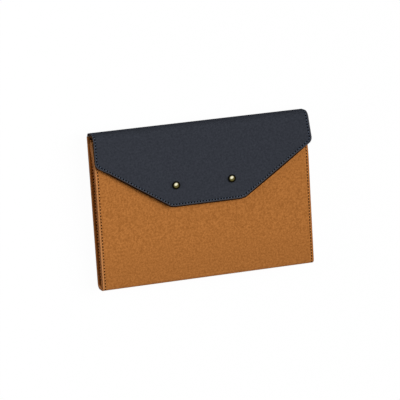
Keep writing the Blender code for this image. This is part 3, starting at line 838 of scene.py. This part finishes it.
def flared(x, height):
    """x moved with the flare, by its share of the way from the left edge to the right one."""
    return x + (x - FLAP_LEFT) / (2 * HALF_FLAP) * flare_at(height)


def unflared(x, height):
    """The way back from flared."""
    return FLAP_LEFT + (x - FLAP_LEFT) / (1 + flare_at(height) / (2 * HALF_FLAP))


def laid_flat(station):
    """The height of a station of the fold's line when the flap is laid out flat, and the other way round."""
    return FLAP_FOOT + fold[0][-1] - station


split_height = laid_flat(split)
cut_shift = CLOSE_CUT * (TIP_LEFT - FLAP_LEFT) / (SHOULDERS[0] - FLAP_FOOT)
outline = bent_line(
    [(FLAP_LEFT, split_height), (FLAP_LEFT, SHOULDERS[0] + CLOSE_CUT), (TIP_LEFT + cut_shift, FLAP_FOOT),
     (TIP_RIGHT, FLAP_FOOT), (FLAP_RIGHT + FLARE, SHOULDERS[1]), (FLAP_RIGHT, FLARE_TOP),
     (FLAP_RIGHT, split_height)],
    [SHOULDER_ROUND, TIP_ROUND, TIP_ROUND, SHOULDER_ROUND, SHOULDER_ROUND],
)


def flap_fill(inset, rims, top_height):
    """A grid of (x, height) that fills the outline, drawn in by an inset, up to a height laid flat.

    The columns lie close together at both sides, the rows at the foot; both follow the outline.
    """
    line = outline[1] + outline[2] * inset
    plain = unflared(line[:, 0], line[:, 1])
    width = plain[-1] - plain[0]
    inwards = np.linspace(rims[-1], width - rims[-1], FILL_COLUMNS)
    x = plain[0] + np.unique(np.concatenate([rims, inwards, width - rims]))
    foot = np.interp(x, plain[1:-1], line[1:-1, 1])
    share = np.linspace(0, 1, FILL_ROWS)[1:, None]
    ramp = foot + rims[-1] + share * (top_height - foot - rims[-1])
    height = np.vstack([foot + rims[:, None], ramp])
    edge = distance_to(line, flared(x, height), height)
    edge[:, [0, -1]] = 0
    edge[0] = 0
    return flared(x, height), height, edge


sewn = outline[1] + outline[2] * FLAP_SEAM + SEAM_OFF
sewn[[0, -1], 1] = split_height
x, height, edge = flap_fill(0, RIM_ROWS, split_height)
hem = (1 - soft_step(height, STIFF_TOP - STIFF_SOFT, STIFF_TOP)) * turned_in(edge)
thickness = LEATHER + (HEM - LEATHER) * hem
fall = rounding(edge, FLAP_RIM, thickness / 2)
groove = groove_at(distance_to(sewn, x, height), GROOVE)
near = carried(fold, x, laid_flat(height), fall + groove)
far = carried(fold, x, laid_flat(height), thickness - fall)
shares = flap_edges(edge, height)
flap_front = make_piece("flap_leather_front", *closed_sheet(near, far), navy_leather, **shares)
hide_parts("flap_leather", "spine_leather")
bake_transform(flap_front)


# Flap seam
# Dark blue-grey thread with the same needle as the shell's seams, 2.3 to 3.5 mm in from the flap's edge, from
# the fold's foot on the back over the top edge and along the point.
BACK_ROW_START = 1.2 * MM

navy_thread = thread_finish("navy_thread", (0.035, 0.047, 0.07), (0.1, 0.13, 0.19))
# Painted shade in the needle holes
navy_hole_shade = hole_shade_finish("navy_hole_shade", (0.0006, 0.0008, 0.0012))

front_path = along_path(sewn, PITCH / 2, PITCH / 2, PITCH)
front_path[:, 1] = laid_flat(front_path[:, 1])
row_start = root_end + BACK_ROW_START
row_places = [FLAP_SHIFT + SEAM_OFF[0] + out * (HALF_FLAP - FLAP_SEAM) for out in (-1, 1)]
back_rows = [straight(x, row_start, x, split, 0, PITCH / 2) for x in row_places]
for stitches in seam("flap_front_seam", fold, [front_path], SEAM_DEPTH, navy_thread, navy_hole_shade):
    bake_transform(stitches)
for stitches in seam("flap_back_seam", fold, back_rows, SEAM_DEPTH, navy_thread, navy_hole_shade):
    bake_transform(stitches)


# Flap lining
# Navy cloth inside the flap and the spine, glued down a millimetre inside the edges. It lies on the leather
# round the fold and steps over the board on the flap's front.
navy_cloth = nap_finish("navy_cloth", (0.012, 0.0145, 0.02), (0.03, 0.035, 0.046))
BARE_DEPTH, STIFF_DEPTH, CLOTH = 1.7 * MM, 2.8 * MM, 0.5 * MM
STEP_FOOT = 156.9 * MM

x, height, edge = flap_fill(LINING_MARGIN, LINING_ROWS, laid_flat(back_fold))
edge = np.minimum(edge, height[-1:] - height)
fall = rounding(edge, LINING_RIM, CLOTH / 2)
depth = np.interp(height, [STEP_FOOT, FLARE_TOP], [STIFF_DEPTH, BARE_DEPTH])
near = carried(fold, x, laid_flat(height), depth + fall)
far = carried(fold, x, laid_flat(height), depth + CLOTH - fall)
flap_lining = make_piece("flap_lining_cloth", *closed_sheet(near, far), navy_cloth)
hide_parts("flap_lining", "spine_lining")
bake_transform(flap_lining)


# Studs
# Turned brass with a domed head. A painted highlight lies in an oval on the upper half of the crown, a
# painted dim reflection round it, and a ring of painted dark reflection and some tarnish at its foot. A post
# goes through the leather and is peened over a burr.
STUD_X, STUD_Y = (-35.08 * MM, 29.12 * MM), 21.6 * MM
STUD_RADIUS, STUD_CROWN, STUD_FULLNESS = 4.4 * MM, 2.0 * MM, 2.6
FOOT_LIFT, FOOT_UNDERCUT = 0.1 * MM, 0.3 * MM
POST_RADIUS, POST_END = 1.2 * MM, 2.5 * MM
# The painted highlight's oval and the ring of painted dark reflection with tarnish: where their middles lie
# on the dome, and from where to where they end
HIGHLIGHT_X, HIGHLIGHT_Y, HIGHLIGHT_TURN, HIGHLIGHT_LENGTH = -0.75 * MM, 1.5 * MM, math.radians(25), 1.4
RING_X, RING_Y = -0.6 * MM, 0.45 * MM
HIGHLIGHT_END, RING_START = (0.8 * MM, 1.9 * MM), (2.3 * MM, 3.1 * MM)

brass = Finish("brass", Metallic=1.0)
tarnish = brass.noise(700.0, detail=3.0, roughness=0.6)
# Cream of the painted highlight, olive of the painted dim reflection, and near black of the painted dark
# reflection with some tarnish
painted_highlight = brass.mix(brass.stretch(tarnish, low=0.35, high=0.7), (0.96, 0.92, 0.7), (0.86, 0.8, 0.54))
painted_reflections = brass.mix(brass.attribute("dull"), painted_highlight, (0.13, 0.112, 0.032))
reflections_and_tarnish = brass.mix(brass.attribute("black"), painted_reflections, (0.008, 0.006, 0.002))
brass.fill(Base_Color=reflections_and_tarnish, Roughness=0.2 + tarnish * 0.12 + brass.attribute("black") * 0.3)
brass.bump(tarnish, depth=0.02 * MM, strength=0.3)

angle = np.linspace(math.pi / 2, 0, 15)
bulge = 2 / STUD_FULLNESS
dome_radius = STUD_RADIUS * np.cos(angle) ** bulge
dome_height = GAP + FOOT_LIFT + (STUD_CROWN - FOOT_LIFT) * np.sin(angle) ** bulge
shaft = [(STUD_RADIUS, GAP), (STUD_RADIUS - FOOT_UNDERCUT, FOOT_LIFT), (POST_RADIUS, FOOT_LIFT),
         (POST_RADIUS, -POST_END), (0, -POST_END)]
points, faces = turned(np.vstack([np.stack([dome_radius, dome_height], axis=-1), shaft]), 48)
# Shares of the painted dim reflection outside the highlight's oval and of the ring of painted dark reflection
# and tarnish
from_highlight = (points[:, 0] - HIGHLIGHT_X + 1j * (points[:, 1] - HIGHLIGHT_Y)) * np.exp(-1j * HIGHLIGHT_TURN)
dull = soft_step(np.hypot(from_highlight.real / HIGHLIGHT_LENGTH, from_highlight.imag), *HIGHLIGHT_END)
black = soft_step(np.hypot(points[:, 0] - RING_X, points[:, 1] - RING_Y), *RING_START)
for side, x in zip(("left", "right"), STUD_X):
    placed = points + [x, STUD_Y, FLAP_DEPTH]
    stud = make_piece("stud_" + side + "_dome", placed, faces, brass, dull=dull, black=black)
    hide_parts("stud_" + side)
    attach(stud, "flap")
dress(brass, "stud_burr_left", "stud_burr_right")


# Magnets
# Nickel-plated rings round the posts hold the flap down on two discs that lie in the front board.
steel = Finish("nickel_plate", Roughness=0.3, Metallic=1.0)
haze = steel.noise(500.0, detail=2.0)
steel.fill(Base_Color=steel.mix(haze, (0.42, 0.41, 0.4), (0.58, 0.57, 0.55)))
dress(steel, "flap_magnet_left", "flap_magnet_right", "panel_magnet_left", "panel_magnet_right")
